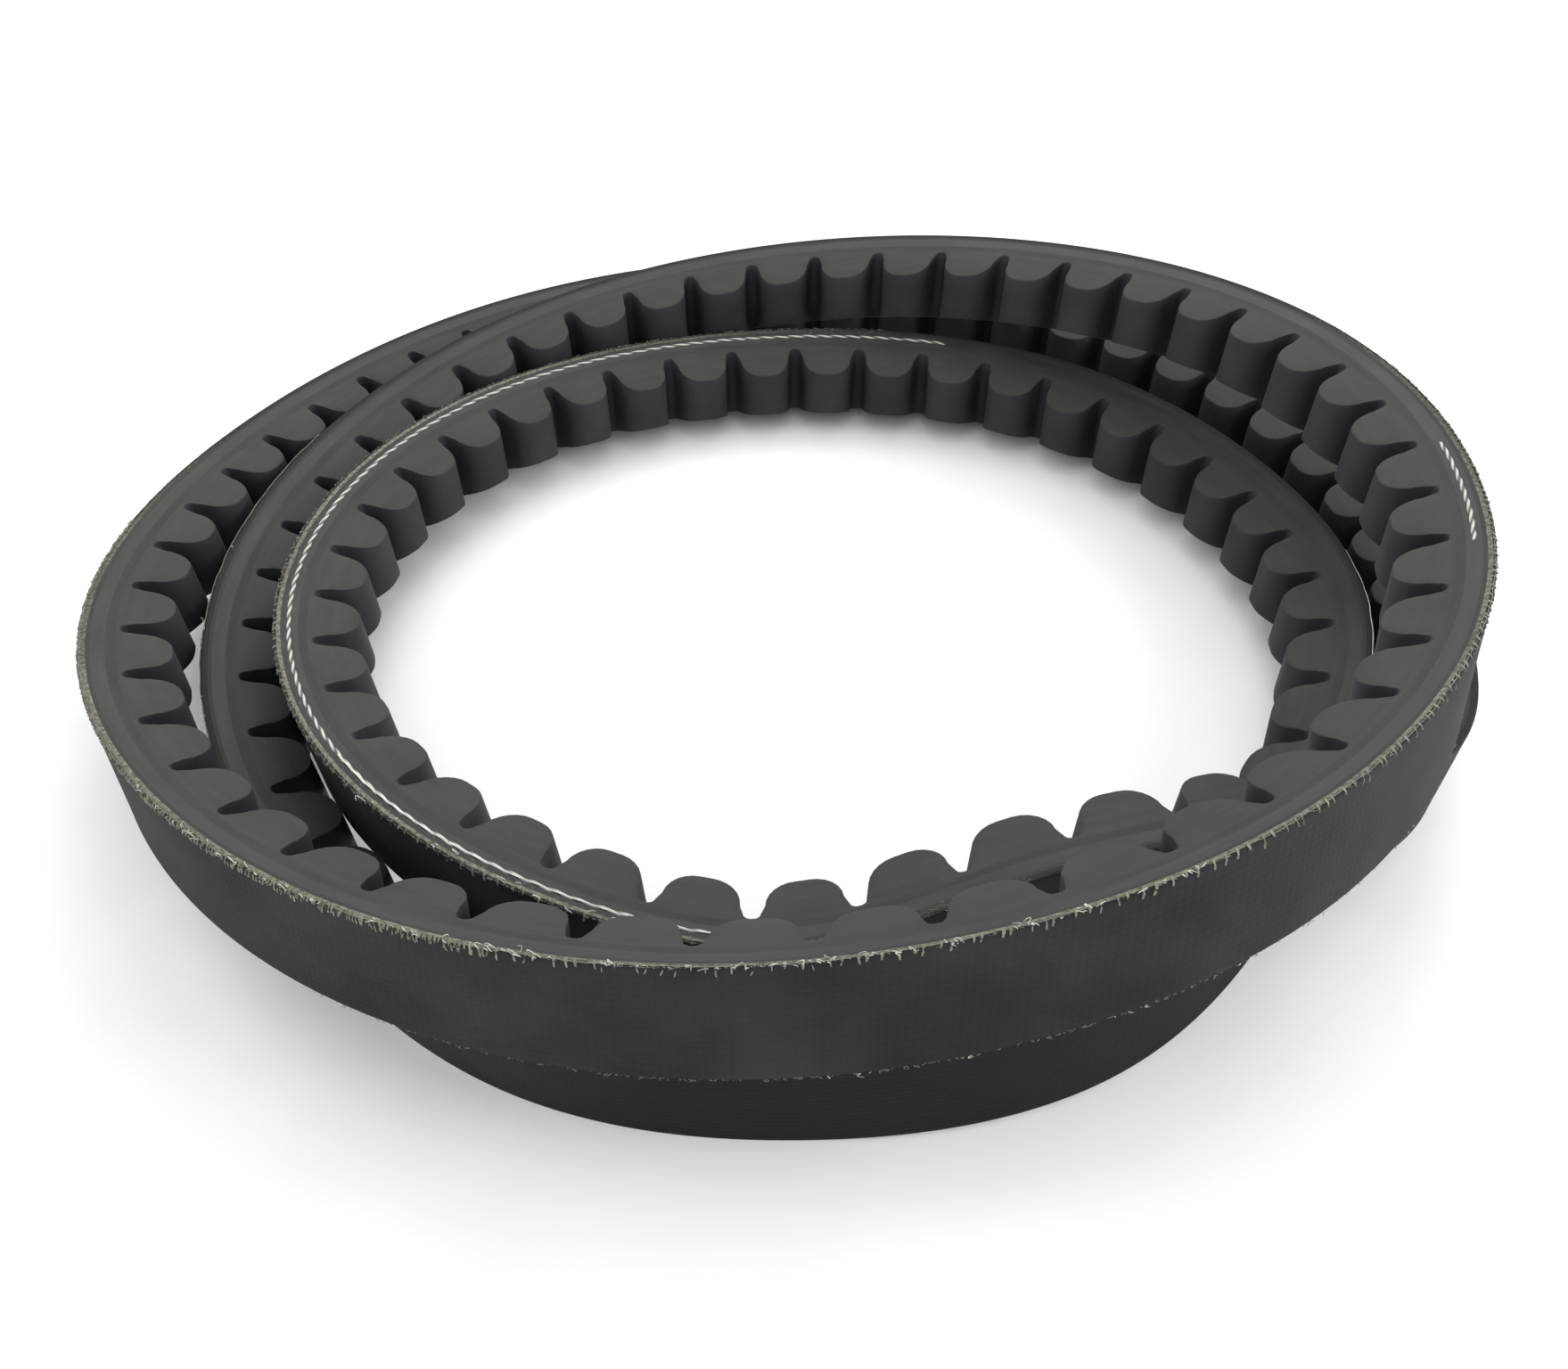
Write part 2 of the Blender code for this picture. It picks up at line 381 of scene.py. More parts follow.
def sweep(name, lengths, section, material, replaced):
    """Carry a ring of (depth, width) columns round the belt."""
    middle, inward, upward = frames_at(lengths)
    depth, width = section
    points = (middle[:, None] + depth[..., None] * inward[:, None]
              + width[..., None] * upward[:, None])
    rows, sides = depth.shape
    along = np.repeat(lengths[:, None], sides, axis=1)
    azimuth = azimuth_at(along)
    front_fray = window(azimuth, FRONT_FRAY, FRONT_FRAY_FADE)
    inner_fray = window(azimuth, INNER_FRAY, INNER_FRAY_FADE)
    layers = {
        "along": along,
        "depth": depth,
        "across": width,
        "fray": np.maximum(front_fray, inner_fray),
        # painted shade along the back stretch under the strand above
        "painted_shade": window(azimuth, PAINTED_SHADE_BACK, PAINTED_SHADE_FADE),
    }
    return make_mesh(name, points.reshape(-1, 3), loop_quads(rows, sides),
                     material, layers, replaced)


def smooth_noise(length, seed, scales):
    """A closed, smooth, random wave along the belt between about -1 and 1."""
    chance = np.random.default_rng(seed)
    total = np.zeros_like(length)
    for scale in scales:
        cycles = max(1, round(BELT_LENGTH / scale))
        start = chance.uniform(0.0, 6.28)
        total += np.sin(2.0 * np.pi * cycles * length / BELT_LENGTH + start)
    return total / len(scales)


# ---------------------------------------------------------------- materials

def new_material(name, roughness, specular):
    """A Principled material, with its nodes, links and shader at hand."""
    material = bpy.data.materials.new(name)
    material.use_nodes = True
    shader = material.node_tree.nodes["Principled BSDF"]
    shader.inputs["Roughness"].default_value = roughness
    shader.inputs["Specular IOR Level"].default_value = specular
    return material, material.node_tree.nodes, material.node_tree.links, shader


def attribute(nodes, label):
    """Value of a named float layer."""
    node = nodes.new("ShaderNodeAttribute")
    node.attribute_name = label
    return node.outputs["Fac"]


def math_node(nodes, links, operation, first, second):
    """Result of an operation on two sockets or numbers."""
    node = nodes.new("ShaderNodeMath")
    node.operation = operation
    for socket, value in zip(node.inputs, (first, second)):
        if isinstance(value, (int, float)):
            socket.default_value = value
        else:
            links.new(value, socket)
    return node.outputs[0]


def noise_node(nodes, links, scale, detail, vector):
    """Noise value at a vector."""
    node = nodes.new("ShaderNodeTexNoise")
    node.inputs["Scale"].default_value = scale
    node.inputs["Detail"].default_value = detail
    links.new(vector, node.inputs["Vector"])
    return node.outputs["Fac"]


def object_vector(nodes):
    """Place in the piece's own space, in metres."""
    return nodes.new("ShaderNodeTexCoord").outputs["Object"]


def belt_vector(nodes, links, stretch):
    """A vector that runs along, across and through the belt, in millimetres."""
    node = nodes.new("ShaderNodeCombineXYZ")
    along = math_node(nodes, links, "MULTIPLY", attribute(nodes, "along"), stretch)
    links.new(along, node.inputs["X"])
    links.new(attribute(nodes, "across"), node.inputs["Y"])
    links.new(attribute(nodes, "depth"), node.inputs["Z"])
    return node.outputs[0]


def ramp_node(nodes, links, factor, stops):
    """Colour read from (position, colour) stops."""
    node = nodes.new("ShaderNodeValToRGB")
    links.new(factor, node.inputs["Fac"])
    elements = node.color_ramp.elements
    while len(elements) < len(stops):
        elements.new(0.5)
    for element, (position, colour) in zip(elements, stops):
        element.position = position
        element.color = (*colour, 1.0)
    return node.outputs["Color"]


def mix_colour(nodes, links, factor, first, second):
    """Mix of two colours or colour sockets; factor 0 gives the first."""
    node = nodes.new("ShaderNodeMix")
    node.data_type = "RGBA"
    links.new(factor, node.inputs["Factor"])
    for socket, value in zip((node.inputs["A"], node.inputs["B"]), (first, second)):
        if isinstance(value, tuple):
            socket.default_value = (*value, 1.0)
        else:
            links.new(value, socket)
    return node.outputs["Result"]


def add_bump(nodes, links, shader, height, strength, distance):
    """Relief on the shader's normal; distance in millimetres."""
    node = nodes.new("ShaderNodeBump")
    node.inputs["Strength"].default_value = strength
    node.inputs["Distance"].default_value = distance * MM
    links.new(height, node.inputs["Height"])
    links.new(node.outputs["Normal"], shader.inputs["Normal"])


def ground_rubber(nodes, links, mottle, dark, light):
    """Colour of a ground rubber edge: fine streaks along the belt over a soft mottle."""
    streak = noise_node(nodes, links, 0.9, 6.0, belt_vector(nodes, links, 0.12))
    half_streak = math_node(nodes, links, "MULTIPLY", streak, 0.5)
    half_mottle = math_node(nodes, links, "MULTIPLY", mottle, 0.5)
    blend = math_node(nodes, links, "ADD", half_streak, half_mottle)
    return ramp_node(nodes, links, blend, ((0.30, dark), (0.70, light)))


def raw_edge_material(name, dark, mottle_scale, roughness=0.78):
    """Ground rubber edge of one bonded layer."""
    material, nodes, links, shader = new_material(name, roughness, 0.35)
    mottle = noise_node(nodes, links, mottle_scale, 5.0, object_vector(nodes))
    colour = ground_rubber(nodes, links, mottle, dark, FLANK_LIGHT)
    links.new(colour, shader.inputs["Base Color"])
    grain = noise_node(nodes, links, 1500.0, 4.0, object_vector(nodes))
    add_bump(nodes, links, shader, grain, 0.35, 0.10)
    return material


def cog_material():
    """Cut flanks like the other raw edges, and darker moulded cog faces between them."""
    material, nodes, links, shader = new_material("cog_rubber", 0.76, 0.4)
    mottle = noise_node(nodes, links, 95.0, 5.0, object_vector(nodes))
    cut = ground_rubber(nodes, links, mottle, FLANK_DARK, FLANK_LIGHT)
    moulded = ramp_node(nodes, links, mottle, ((0.30, COG_DARK), (0.72, COG_LIGHT)))
    colour = mix_colour(nodes, links, attribute(nodes, "cut"), moulded, cut)
    links.new(colour, shader.inputs["Base Color"])
    grain = noise_node(nodes, links, 1300.0, 4.0, object_vector(nodes))
    add_bump(nodes, links, shader, grain, 0.35, 0.10)
    return material


def fabric_material():
    """Rubber-coated bias weave on the back, with painted shade darkening one stretch of it, pale
    specks at the cut edge.
    """
    material, nodes, links, shader = new_material("back_fabric", 0.86, 0.25)
    along = attribute(nodes, "along")
    across = attribute(nodes, "across")
    heights = []
    for sign in (1.0, -1.0):
        sideways = math_node(nodes, links, "MULTIPLY", across, sign)
        slanted = math_node(nodes, links, "ADD", along, sideways)
        turned = math_node(nodes, links, "MULTIPLY", slanted, WEAVE_TURNS)
        heights.append(math_node(nodes, links, "SINE", turned, 0.0))
    weave = math_node(nodes, links, "MULTIPLY", heights[0], heights[1])
    mottle = noise_node(nodes, links, 70.0, 6.0, object_vector(nodes))
    fleck = noise_node(nodes, links, 900.0, 3.0, object_vector(nodes))
    faint_weave = math_node(nodes, links, "MULTIPLY", weave, 0.035)
    tone = math_node(nodes, links, "ADD", mottle, faint_weave)
    colour = ramp_node(nodes, links, tone, ((0.32, FABRIC_DARK), (0.70, FABRIC_LIGHT)))
    # painted shade: darken the back stretch that lies in the shade under the strand above
    painted_shade = math_node(nodes, links, "MULTIPLY", attribute(nodes, "painted_shade"), PAINTED_SHADE_SHARE)
    colour = mix_colour(nodes, links, painted_shade, colour, FABRIC_PAINTED_SHADE)
    near_edge = math_node(nodes, links, "GREATER_THAN", across, EDGE_BAND)
    shown = math_node(nodes, links, "MULTIPLY", near_edge, attribute(nodes, "fray"))
    speckle = math_node(nodes, links, "GREATER_THAN", fleck, 0.47)
    frayed = math_node(nodes, links, "MULTIPLY", shown, speckle)
    colour = mix_colour(nodes, links, frayed, colour, FIBRE_BEIGE)
    links.new(colour, shader.inputs["Base Color"])
    half_weave = math_node(nodes, links, "MULTIPLY", weave, 0.5)
    relief = math_node(nodes, links, "ADD", half_weave, fleck)
    add_bump(nodes, links, shader, relief, 0.30, 0.10)
    return material


def ply_edge_material(name, rest_colour):
    """Cut ply: dark rubbered weave where sealed, pale torn fibres where frayed."""
    material, nodes, links, shader = new_material(name, 0.92, 0.2)
    fine = noise_node(nodes, links, 1.6, 4.0, belt_vector(nodes, links, 1.0))
    broad = noise_node(nodes, links, 60.0, 3.0, object_vector(nodes))
    torn = ramp_node(nodes, links, fine, ((0.35, FIBRE_DARK), (0.62, FIBRE_BEIGE)))
    strong = math_node(nodes, links, "MULTIPLY", broad, 2.2)
    patch = math_node(nodes, links, "MULTIPLY", attribute(nodes, "fray"), strong)
    colour = mix_colour(nodes, links, patch, rest_colour, torn)
    links.new(colour, shader.inputs["Base Color"])
    add_bump(nodes, links, shader, fine, 0.6, 0.15)
    return material


def thread_material(name, dark, light):
    """Loose textile fibre with a slight sheen."""
    material, nodes, links, shader = new_material(name, 0.80, 0.2)
    tone = noise_node(nodes, links, 700.0, 3.0, object_vector(nodes))
    colour = ramp_node(nodes, links, tone, ((0.35, dark), (0.65, light)))
    links.new(colour, shader.inputs["Base Color"])
    shader.inputs["Sheen Weight"].default_value = 0.2
    add_bump(nodes, links, shader, tone, 0.3, 0.05)
    return material


def cord_material():
    """Pale twisted polyester, with painted shade darkening the grooves between its plies."""
    material, nodes, links, shader = new_material("twisted_cord", 0.7, 0.3)
    # painted shade: the groove value darkens the colour between the plies; the noise below is
    # random dirt
    half_twist = math_node(nodes, links, "MULTIPLY", attribute(nodes, "twist"), 0.5)
    groove = math_node(nodes, links, "ADD", half_twist, 0.5)
    dirt = noise_node(nodes, links, 450.0, 4.0, object_vector(nodes))
    groove_shade_share = math_node(nodes, links, "MULTIPLY", groove, 0.75)
    dirt_share = math_node(nodes, links, "MULTIPLY", dirt, 0.35)
    tone = math_node(nodes, links, "ADD", groove_shade_share, dirt_share)
    colour = ramp_node(nodes, links, tone, ((0.30, CORD_DARK), (0.78, CORD_LIGHT)))
    links.new(colour, shader.inputs["Base Color"])
    add_bump(nodes, links, shader, dirt, 0.3, 0.05)
    return material


# ---------------------------------------------------------------- belt pieces

def even_lengths(step):
    """Evenly spaced lengths round the belt, about a step apart."""
    count = int(round(BELT_LENGTH / step))
    return np.arange(count) * BELT_LENGTH / count


def back_ply(material):
    """Back fabric: rounded cut corners and a slightly uneven face."""
    lengths = even_lengths(FINE_STEP)
    rows = len(lengths)
    depth, width = [], []
    for cut_depth, inset in BACK_CORNER:
        depth.append(np.full(rows, cut_depth))
        width.append(np.full(rows, half_width(cut_depth) - inset))
    inner = np.linspace(BACK_REACH, -BACK_REACH, BACK_COLUMNS) * TOP_WIDTH / 2.0
    for column, across in enumerate(inner):
        wave = smooth_noise(lengths, BACK_SEED + column // 3, (9.0, 17.0, 31.0))
        depth.append(BACK_WAVE * (1.0 + wave))
        width.append(np.full(rows, across))
    for cut_depth, inset in reversed(BACK_CORNER):
        depth.append(np.full(rows, cut_depth))
        width.append(np.full(rows, inset - half_width(cut_depth)))
    section = np.stack(depth, -1), np.stack(width, -1)
    return sweep("back_fabric_ply", lengths, section, material, ("outer_fabric_ply",))


def bonded_layer(name, node, depths, relief, material, seed):
    """A bonded layer whose cut edge stands a little proud or shy of its neighbours."""
    lengths = even_lengths(FINE_STEP)
    start, end = depths
    depth, width = [], []
    upper = relief * (0.6 + 0.4 * smooth_noise(lengths, seed, (2.5, 4.1, 7.3)))
    lower = relief * (0.6 + 0.4 * smooth_noise(lengths, seed + 1, (2.7, 4.3, 7.9)))
    middle_depth = (start + end) / 2.0
    for level, share in ((start, 0.0), (middle_depth, 1.0), (end, 0.0)):
        depth.append(np.full(len(lengths), level))
        width.append(half_width(level) + share * upper)
    for level, share in ((end, 0.0), (middle_depth, 1.0), (start, 0.0)):
        depth.append(np.full(len(lengths), level))
        width.append(-half_width(level) - share * lower)
    section = np.stack(depth, -1), np.stack(width, -1)
    return sweep(name, lengths, section, material, (node,))


def arc(centre, radius, first, last, steps):
    """Points of an arc; angles in degrees from the +x axis towards greater depth."""
    angles = np.radians(np.linspace(first, last, steps))
    return [(centre[0] + radius * math.cos(a), centre[1] + radius * math.sin(a)) for a in angles]


def cog_profile():
    """(distance from the notch centre, depth) over half a pitch: round root, wall, round tip."""
    points = [(0.0, NOTCH_DEPTH)]
    points += arc((ROOT_FLAT, NOTCH_DEPTH + ROOT_ROUND), ROOT_ROUND, -90.0, -8.0, ROUND_STEPS)
    tip_centre = (MOUTH_HALF + TIP_ROUND, THICKNESS - TIP_ROUND)
    points += arc(tip_centre, TIP_ROUND, 182.0, 90.0, ROUND_STEPS)
    points.append((PITCH / 2.0 - 0.01, THICKNESS))
    return points


def cog_rows():
    """Lengths and cog face depths of every row round the belt."""
    half = cog_profile()
    mirrored = [(PITCH - distance, depth) for distance, depth in reversed(half[1:])]
    one = half + mirrored
    distance = np.array([point[0] for point in one])
    depth = np.array([point[1] for point in one])
    base = np.arange(COG_COUNT)[:, None] * PITCH
    lengths = (base + distance[None, :]).ravel()
    return lengths, np.tile(depth, COG_COUNT)


def cog_piece(material):
    """All the cogs as one moulding, with worn tips and eased flank corners."""
    lengths, face = cog_rows()
    wear = COG_WEAR * smooth_noise(lengths, COG_SEED, (6.0, 13.0, 29.0))
    tip_share = np.clip((face - NOTCH_DEPTH) / (THICKNESS - NOTCH_DEPTH), 0.0, 1.0)
    face = face - np.abs(wear) * tip_share
    depth, width, cut = [], [], []
    columns = ((None, 0.0, 1.0), (0.20, 0.0, 1.0), (0.07, 0.04, 0.7), (0.0, 0.20, 0.0))
    for back, inset, share in columns:
        level = np.full(len(lengths), COG_PAD_START) if back is None else face - back
        depth.append(level)
        width.append(half_width(level) - inset)
        cut.append(share)
    for across in COG_FACE_SHARES:
        depth.append(face)
        width.append(half_width(face) * across)
        cut.append(0.0)
    for back, inset, share in reversed(columns):
        level = np.full(len(lengths), COG_PAD_START) if back is None else face - back
        depth.append(level)
        width.append(inset - half_width(level))
        cut.append(share)
    section = np.stack(depth, -1), np.stack(width, -1)
    piece = sweep("cog_pad_moulded", lengths, section, material, ("cog_pad",))
    layer = piece.data.attributes.new("cut", "FLOAT", "POINT")
    layer.data.foreach_set("value", np.tile(np.array(cut, dtype=np.float32), len(lengths)))
    return piece


def cord_lengths():
    """Rows of the whole winding: close together where the cord shows, wide apart inside."""
    last_lap = (CORD_WRAPS - 1) * BELT_LENGTH
    stops = [0.0]
    shown = [tuple(last_lap + length_at(edge) for edge in span)
             for span in (SIDE_CORD_SHOWN, CORD_SHOWN)]
    while stops[-1] < CORD_WRAPS * BELT_LENGTH - CORD_INNER_STEP:
        here = stops[-1]
        fine = any(low - CORD_FINE_MARGIN < here < high + CORD_FINE_MARGIN for low, high in shown)
        stops.append(here + (CORD_STEP if fine else CORD_INNER_STEP))
    return np.array(stops)


def cord_width(lengths):
    """Width of the cord's centre: a slow helix, drawn up to the raw edge where it shows."""
    reach = half_width(CORD_DEPTH + CORD_RADIUS) - CORD_RADIUS - CORD_INSET
    width = -reach + 2.0 * reach * lengths / (CORD_WRAPS * BELT_LENGTH)
    azimuth = azimuth_at(lengths)
    last_lap = lengths >= (CORD_WRAPS - 1) * BELT_LENGTH
    side_share = SIDE_CORD_SHARE * window(azimuth, SIDE_CORD_SHOWN, SIDE_CORD_FADE)
    shown = np.maximum(window(azimuth, CORD_SHOWN, CORD_FADE), side_share)
    shown = np.where(last_lap, shown, 0.0)
    wander = CORD_WANDER * smooth_noise(lengths, CORD_SEED, (7.0, 12.0, 21.0))
    edge = half_width(CORD_DEPTH) + wander
    return width + (edge - width) * shown


def twisted_cord(material):
    """The winding as a two-ply twisted cord."""
    lengths = cord_lengths()
    angles = np.linspace(0.0, 2.0 * np.pi, CORD_COLUMNS, endpoint=False)[None, :]
    twist = (2.0 * np.pi * lengths / CORD_LAY)[:, None]
    groove = np.cos(CORD_PLIES * angles - twist)
    radius = CORD_RADIUS * (1.0 - CORD_GROOVE + CORD_GROOVE * groove)
    lifted = CORD_LIFT * window(azimuth_at(lengths), CORD_SHOWN, CORD_FADE)
    depth = CORD_DEPTH - lifted[:, None] + radius * np.cos(angles)
    width = cord_width(lengths)[:, None] + radius * np.sin(angles)
    middle, inward, upward = frames_at(lengths)
    points = (middle[:, None] + depth[..., None] * inward[:, None]
              + width[..., None] * upward[:, None])
    along = np.repeat(lengths[:, None], CORD_COLUMNS, axis=1)
    layers = {"along": along, "depth": depth, "across": width, "twist": groove}
    faces = open_quads(len(lengths), CORD_COLUMNS)
    return make_mesh("tensile_cord_twisted", points.reshape(-1, 3), faces, material,
                     layers, ("tensile_cord",))


# ---------------------------------------------------------------- frayed edges

def tube_faces(count, points, sides):
    """Quads of many open tubes, each a run of small rings."""
    tube = np.arange(count)[:, None, None] * points * sides
    row = np.arange(points - 1)[None, :, None] * sides
    side = np.arange(sides)[None, None, :]
    other = (side + 1) % sides
    low = tube + row
    quads = np.stack([low + side, low + other, low + sides + other, low + sides + side], -1)
    return quads.reshape(-1, 4).tolist()


def cap_faces(count, points, sides):
    """End caps of the same tubes."""
    tube = np.arange(count)[:, None] * points * sides
    side = np.arange(sides)[None, :]
    first = tube + side[:, ::-1]
    last = tube + (points - 1) * sides + side
    return first.tolist() + last.tolist()


def tube_points(paths, radius):
    """Rings round many paths of points; each tube thins towards its free end."""
    tangent = np.gradient(paths, axis=1)
    tangent /= np.linalg.norm(tangent, axis=2, keepdims=True)
    side = np.cross(tangent, np.array(TUBE_SIDEWAYS))
    side /= np.linalg.norm(side, axis=2, keepdims=True)
    other = np.cross(tangent, side)
    thickness = radius[:, None, None] * np.linspace(1.0, 0.45, paths.shape[1])[None, :, None]
    rings = []
    for step in range(FIBRE_SIDES):
        angle = 2.0 * math.pi * step / FIBRE_SIDES
        rings.append(paths + thickness * (side * math.cos(angle) + other * math.sin(angle)))
    return np.stack(rings, axis=2)


def fibre_piece(name, material, paths, radius):
    """One piece made of many thin closed tubes along paths of points."""
    count, points = paths.shape[:2]
    rings = tube_points(paths, radius)
    faces = tube_faces(count, points, FIBRE_SIDES) + cap_faces(count, points, FIBRE_SIDES)
    return make_mesh(name, rings.reshape(-1, 3), faces, material, {})


def fibres(name, material, span, count, reach, thickness, depths, lift, seed, edge=1.0):
    """Loose fibre ends along one cut edge of the back (edge 1 upper, -1 lower)."""
    chance = np.random.default_rng(seed)
    azimuth = chance.uniform(span[0], span[1], count)
    lengths = np.interp(azimuth, AZIMUTHS, LENGTHS)
    middle, inward, upward = frames_at(lengths)
    forward = np.cross(inward, upward)
    depth = chance.uniform(depths[0], depths[1], count)[:, None]
    start = middle + depth * inward + edge * (half_width(depth) - FIBRE_SUNK) * upward
    size = reach * chance.uniform(0.35, 1.0, count) ** 1.5
    side = chance.choice([-1.0, 1.0], count)
    run = (size * side * chance.uniform(0.4, 1.0, count))[:, None, None]
    rise = (size * lift * chance.uniform(0.15, 1.0, count))[:, None, None]
    out = (size * lift * chance.uniform(-0.5, 1.0, count))[:, None, None]
    bend = chance.uniform(1.6, 4.6, count)[:, None, None]
    part = np.linspace(0.0, 1.0, FIBRE_POINTS)[None, :, None]
    paths = (start[:, None] + run * np.sin(bend * part) / bend * 2.0 * forward[:, None]
             + edge * rise * np.sin(math.pi * 0.8 * part) * upward[:, None]
             - out * part * inward[:, None])
    radius = thickness * chance.uniform(0.7, 1.2, count)
    return fibre_piece(name, material, paths, radius)


def edge_ticks(name, material, span, spacing, seed):
    """Short cut warp ends that hang over the back's upper edge, one beside the other."""
    chance = np.random.default_rng(seed)
    first, last = length_at(span[0]), length_at(span[1])
    count = int((last - first) / spacing)
    lengths = first + (np.arange(count) + chance.uniform(-0.35, 0.35, count)) * spacing
    middle, inward, upward = frames_at(lengths)
    forward = np.cross(inward, upward)
    drop = chance.uniform(0.25, 1.15, count)[:, None, None]
    skew = chance.uniform(-0.45, 0.45, count)[:, None, None]
    part = np.linspace(0.0, 1.0, FIBRE_POINTS)[None, :, None]
    depth = TICK_START * (1.0 - part) ** 3 - TICK_PROUD
    paths = (middle[:, None] + depth * inward[:, None] + skew * drop * part * forward[:, None]
             + (TOP_WIDTH / 2.0 + TICK_PROUD - drop * part) * upward[:, None])
    radius = TICK_RADIUS * chance.uniform(0.6, 1.3, count)
    return fibre_piece(name, material, paths, radius)


def edge_thread(name, material, span, thickness, depth_line, wander, seed):
    """One long loose thread lying along the back's upper edge, bending in and out."""
    first, last = length_at(span[0]), length_at(span[1])
    lengths = np.linspace(first, last, int((last - first) / THREAD_STEP))
    middle, inward, upward = frames_at(lengths)
    wave = smooth_noise(lengths, seed, (6.0, 11.0, 23.0))[:, None]
    ripple = smooth_noise(lengths, seed + 1, (3.1, 5.3, 9.7))[:, None]
    depth = depth_line + wander * wave
    height = half_width(depth) + thickness * 0.6 + THREAD_RIPPLE * np.abs(ripple)
    path = middle + depth * inward + height * upward
    return fibre_piece(name, material, path[None], np.array([thickness]))


# ---------------------------------------------------------------- whole belt

def dress_belt():
    """The layers that stand for the CAD nodes."""
    ply_edge = ply_edge_material("cut_inner_ply", FLANK_PLAIN)
    overcord = raw_edge_material("cut_overcord", FLANK_DARK, mottle_scale=90.0)
    gum = raw_edge_material("cut_gum", GUM_DARK, mottle_scale=97.0, roughness=0.62)
    undercord = raw_edge_material("cut_undercord", FLANK_DARK, mottle_scale=103.0)
    back_ply(fabric_material())
    bonded_layer("inner_fabric_cut", "inner_fabric_ply", INNER_PLY,
                 relief=0.010, material=ply_edge, seed=11)
    bonded_layer("overcord_cut", "overcord_rubber", OVERCORD,
                 relief=0.005, material=overcord, seed=21)
    bonded_layer("upper_gum_cut", "upper_cushion_gum", UPPER_GUM,
                 relief=-0.004, material=gum, seed=31)
    bonded_layer("lower_gum_cut", "lower_cushion_gum", LOWER_GUM,
                 relief=-0.004, material=gum, seed=41)
    bonded_layer("undercord_cut", "undercord_rubber", UNDERCORD,
                 relief=0.004, material=undercord, seed=51)
    cog_piece(cog_material())
    twisted_cord(cord_material())


def fray_with_fibres(beige, white):
    """Fuzz, curls and tufts along the upper cut edges."""
    fibres("front_edge_fuzz", beige, FRONT_FRAY, count=3600, reach=0.8,
           thickness=0.040, depths=(0.1, 0.8), lift=0.35, seed=101)
    fibres("inner_edge_fuzz", beige, INNER_FRAY, count=5200, reach=0.8,
           thickness=0.046, depths=(0.0, 1.35), lift=0.22, seed=102)
    fibres("front_edge_curls", white, (205.0, 300.0), count=150, reach=1.5,
           thickness=0.055, depths=(0.0, 0.5), lift=0.7, seed=103)
    fibres("inner_edge_curls", white, (930.0, 1000.0), count=26, reach=2.4,
           thickness=0.07, depths=(0.0, 1.2), lift=0.45, seed=104)
    fibres("left_edge_tufts", white, (520.0, 548.0), count=9, reach=1.6,
           thickness=0.06, depths=(0.0, 0.5), lift=0.6, seed=105)


def fray_with_ticks(beige):
    """Cut warp ends, thickest at the left."""
    edge_ticks("front_edge_ticks", beige, (186.0, 384.0), spacing=1.30, seed=111)
    edge_ticks("left_edge_ticks", beige, (165.0, 245.0), spacing=0.42, seed=113)
    edge_ticks("inner_edge_ticks", beige, (880.0, 988.0), spacing=1.6, seed=112)


def fray_lower_edge(beige, white):
    """A little fuzz and a few white specks along the front wall's lower edge."""
    fibres("lower_edge_fuzz", beige, (225.0, 345.0), count=260, reach=0.8,
           thickness=0.035, depths=(-0.02, 0.1), lift=0.4, seed=108, edge=-1.0)
    fibres("lower_edge_specks", white, (262.0, 325.0), count=16, reach=0.9,
           thickness=0.05, depths=(-0.04, 0.0), lift=0.5, seed=109, edge=-1.0)


def fray_with_threads(beige, white):
    """Long threads that have come loose along the edges."""
    edge_thread("inner_edge_thread", white, (925.0, 982.0), thickness=0.13,
                depth_line=1.85, wander=0.04, seed=106)
    edge_thread("right_edge_thread", white, (704.0, 736.0), thickness=0.08,
                depth_line=0.20, wander=0.10, seed=110)
    edge_thread("middle_edge_thread", beige, (505.0, 588.0), thickness=0.08,
                depth_line=0.12, wander=0.08, seed=114)
    edge_thread("front_edge_thread", beige, (190.0, 372.0), thickness=0.07,
                depth_line=0.25, wander=0.16, seed=107)


def fray_belt():
    """All loose fibre pieces, in torn beige fabric and in white cord."""
    beige = thread_material("torn_fibre", TORN_DARK, FIBRE_BEIGE)
    white = thread_material("white_fibre", THREAD_DARK, THREAD_LIGHT)
    fray_with_fibres(beige, white)
    fray_with_ticks(beige)
    fray_lower_edge(beige, white)
    fray_with_threads(beige, white)


# ---------------------------------------------------------------- floor, light and camera

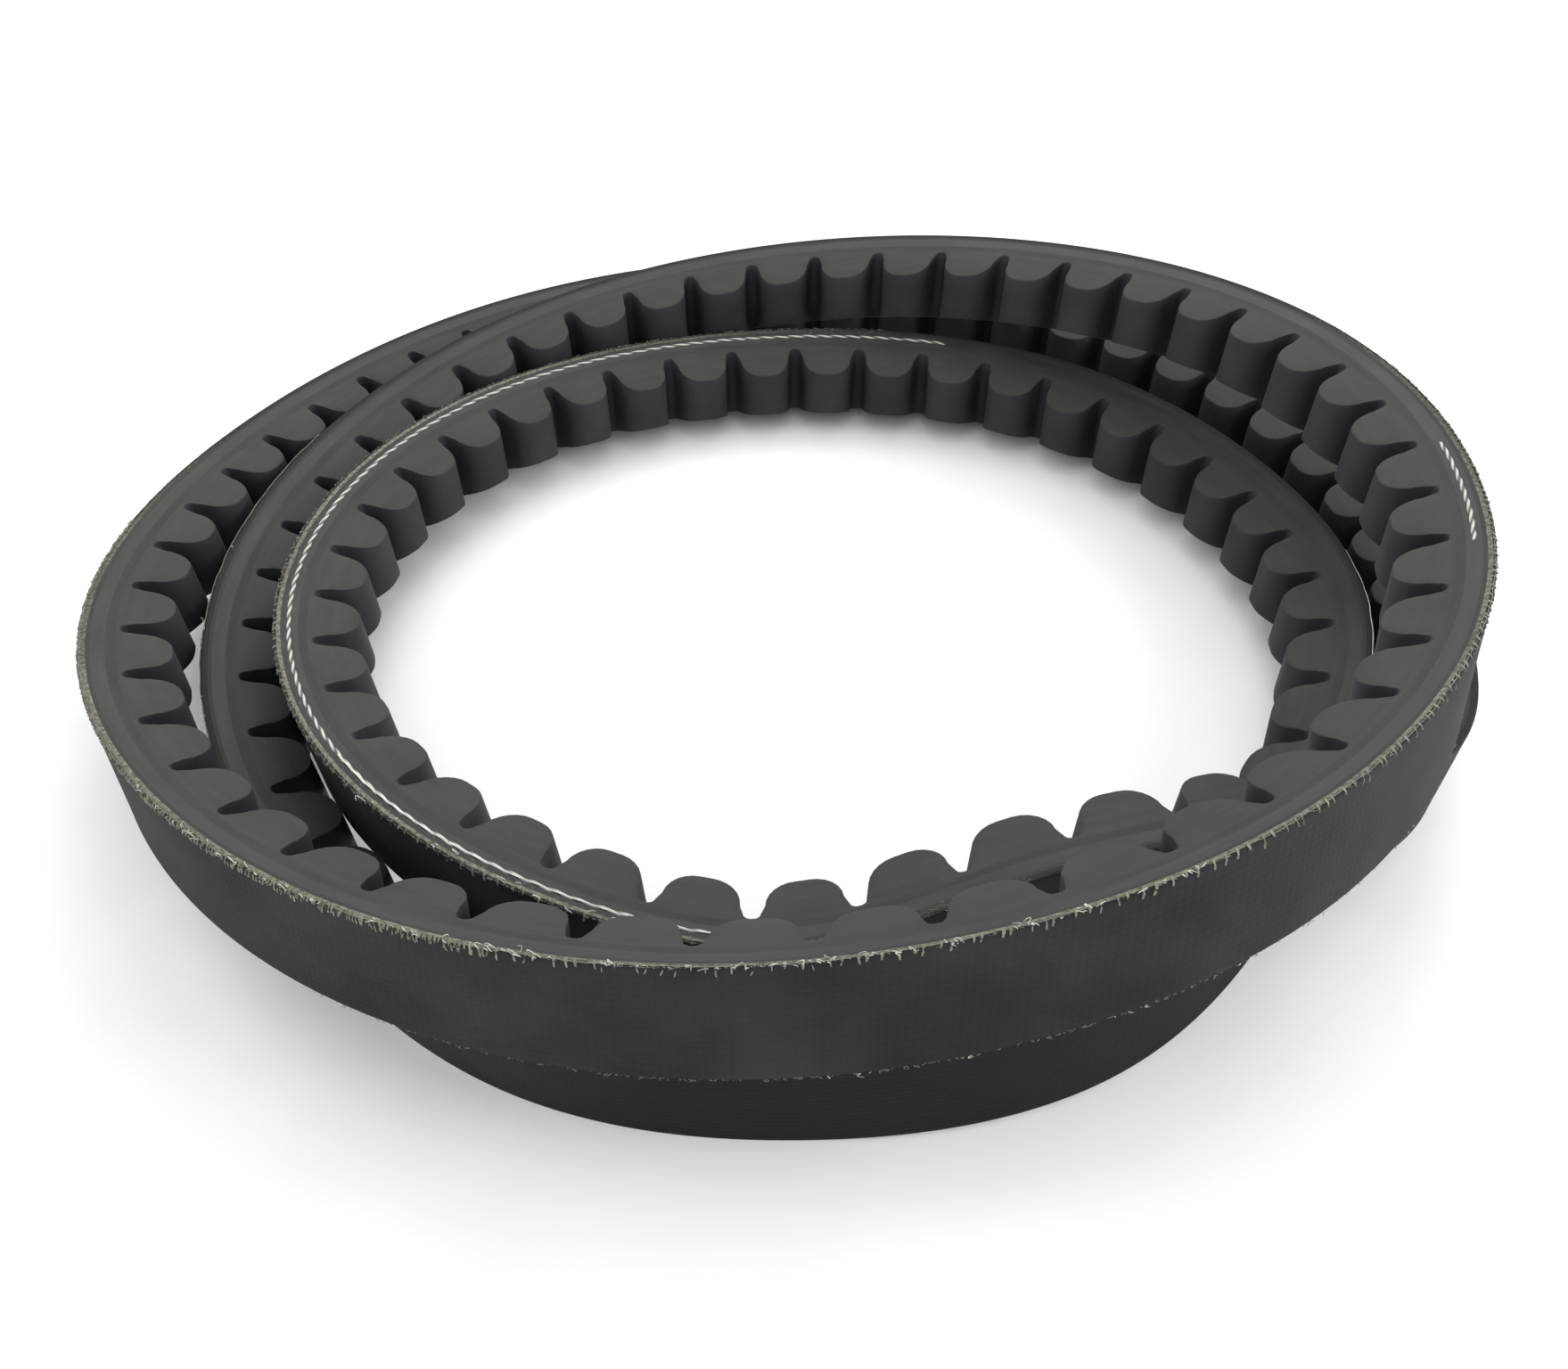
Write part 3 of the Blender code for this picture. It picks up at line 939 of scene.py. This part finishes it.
def make_floor():
    """A plain pale sheet under the belt's lowest point."""
    low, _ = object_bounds()
    mesh = bpy.data.meshes.new("floor")
    half = FLOOR_SIZE / 2.0
    ground = low[2]
    signs = ((-1, -1), (1, -1), (1, 1), (-1, 1))
    corners = [(x * half, y * half, ground) for x, y in signs]
    mesh.from_pydata(corners, [], [(0, 1, 2, 3)])
    material, nodes, links, shader = new_material("studio_paper", 0.9, 0.1)
    tone = noise_node(nodes, links, 40.0, 2.0, object_vector(nodes))
    colour = ramp_node(nodes, links, tone, ((0.3, FLOOR_DARK), (0.7, FLOOR_LIGHT)))
    links.new(colour, shader.inputs["Base Color"])
    mesh.materials.append(material)
    floor = bpy.data.objects.new("floor", mesh)
    bpy.context.scene.collection.objects.link(floor)


def soft_light(name, place, size, power):
    """A square area light aimed at the middle of the coil; place and size in metres."""
    lamp = bpy.data.lights.new(name, "AREA")
    lamp.size = size
    lamp.energy = power
    light = bpy.data.objects.new(name, lamp)
    light.location = place
    direction = -light.location
    light.rotation_euler = direction.to_track_quat("-Z", "Y").to_euler()
    bpy.context.scene.collection.objects.link(light)


def light_scene():
    """White world light with three soft lamps round the coil."""
    world = bpy.data.worlds.new("studio")
    world.use_nodes = True
    background = world.node_tree.nodes["Background"]
    background.inputs["Color"].default_value = (1.0, 1.0, 1.0, 1.0)
    background.inputs["Strength"].default_value = WORLD_STRENGTH
    bpy.context.scene.world = world
    soft_light("top_light", place=(0.05, 0.42, 0.52), size=0.5, power=1.9)
    soft_light("right_light", place=(0.8, -0.15, 0.30), size=0.5, power=4.2)
    soft_light("left_light", place=(-0.8, -0.2, 0.5), size=0.6, power=1.2)
    bpy.context.scene.view_settings.view_transform = "Standard"


def place_camera():
    """The camera in front of the coil, looking down at CAMERA_TILT."""
    lens = bpy.data.cameras.new("camera")
    lens.sensor_width = CAMERA_SENSOR
    lens.lens = CAMERA_LENS
    lens.clip_start = 0.005
    camera = bpy.data.objects.new("camera", lens)
    x = CAMERA_AIM[0] - SHIFT[0]
    y = CAMERA_AIM[1] - SHIFT[1] - CAMERA_DISTANCE * math.cos(CAMERA_TILT)
    z = CAMERA_DISTANCE * math.sin(CAMERA_TILT) - SHIFT[2]
    camera.location = (x * MM, y * MM, z * MM)
    camera.rotation_euler = (math.pi / 2.0 - CAMERA_TILT, 0.0, 0.0)
    bpy.context.scene.collection.objects.link(camera)
    bpy.context.scene.camera = camera


dress_belt()
fray_belt()
make_floor()
light_scene()
place_camera()
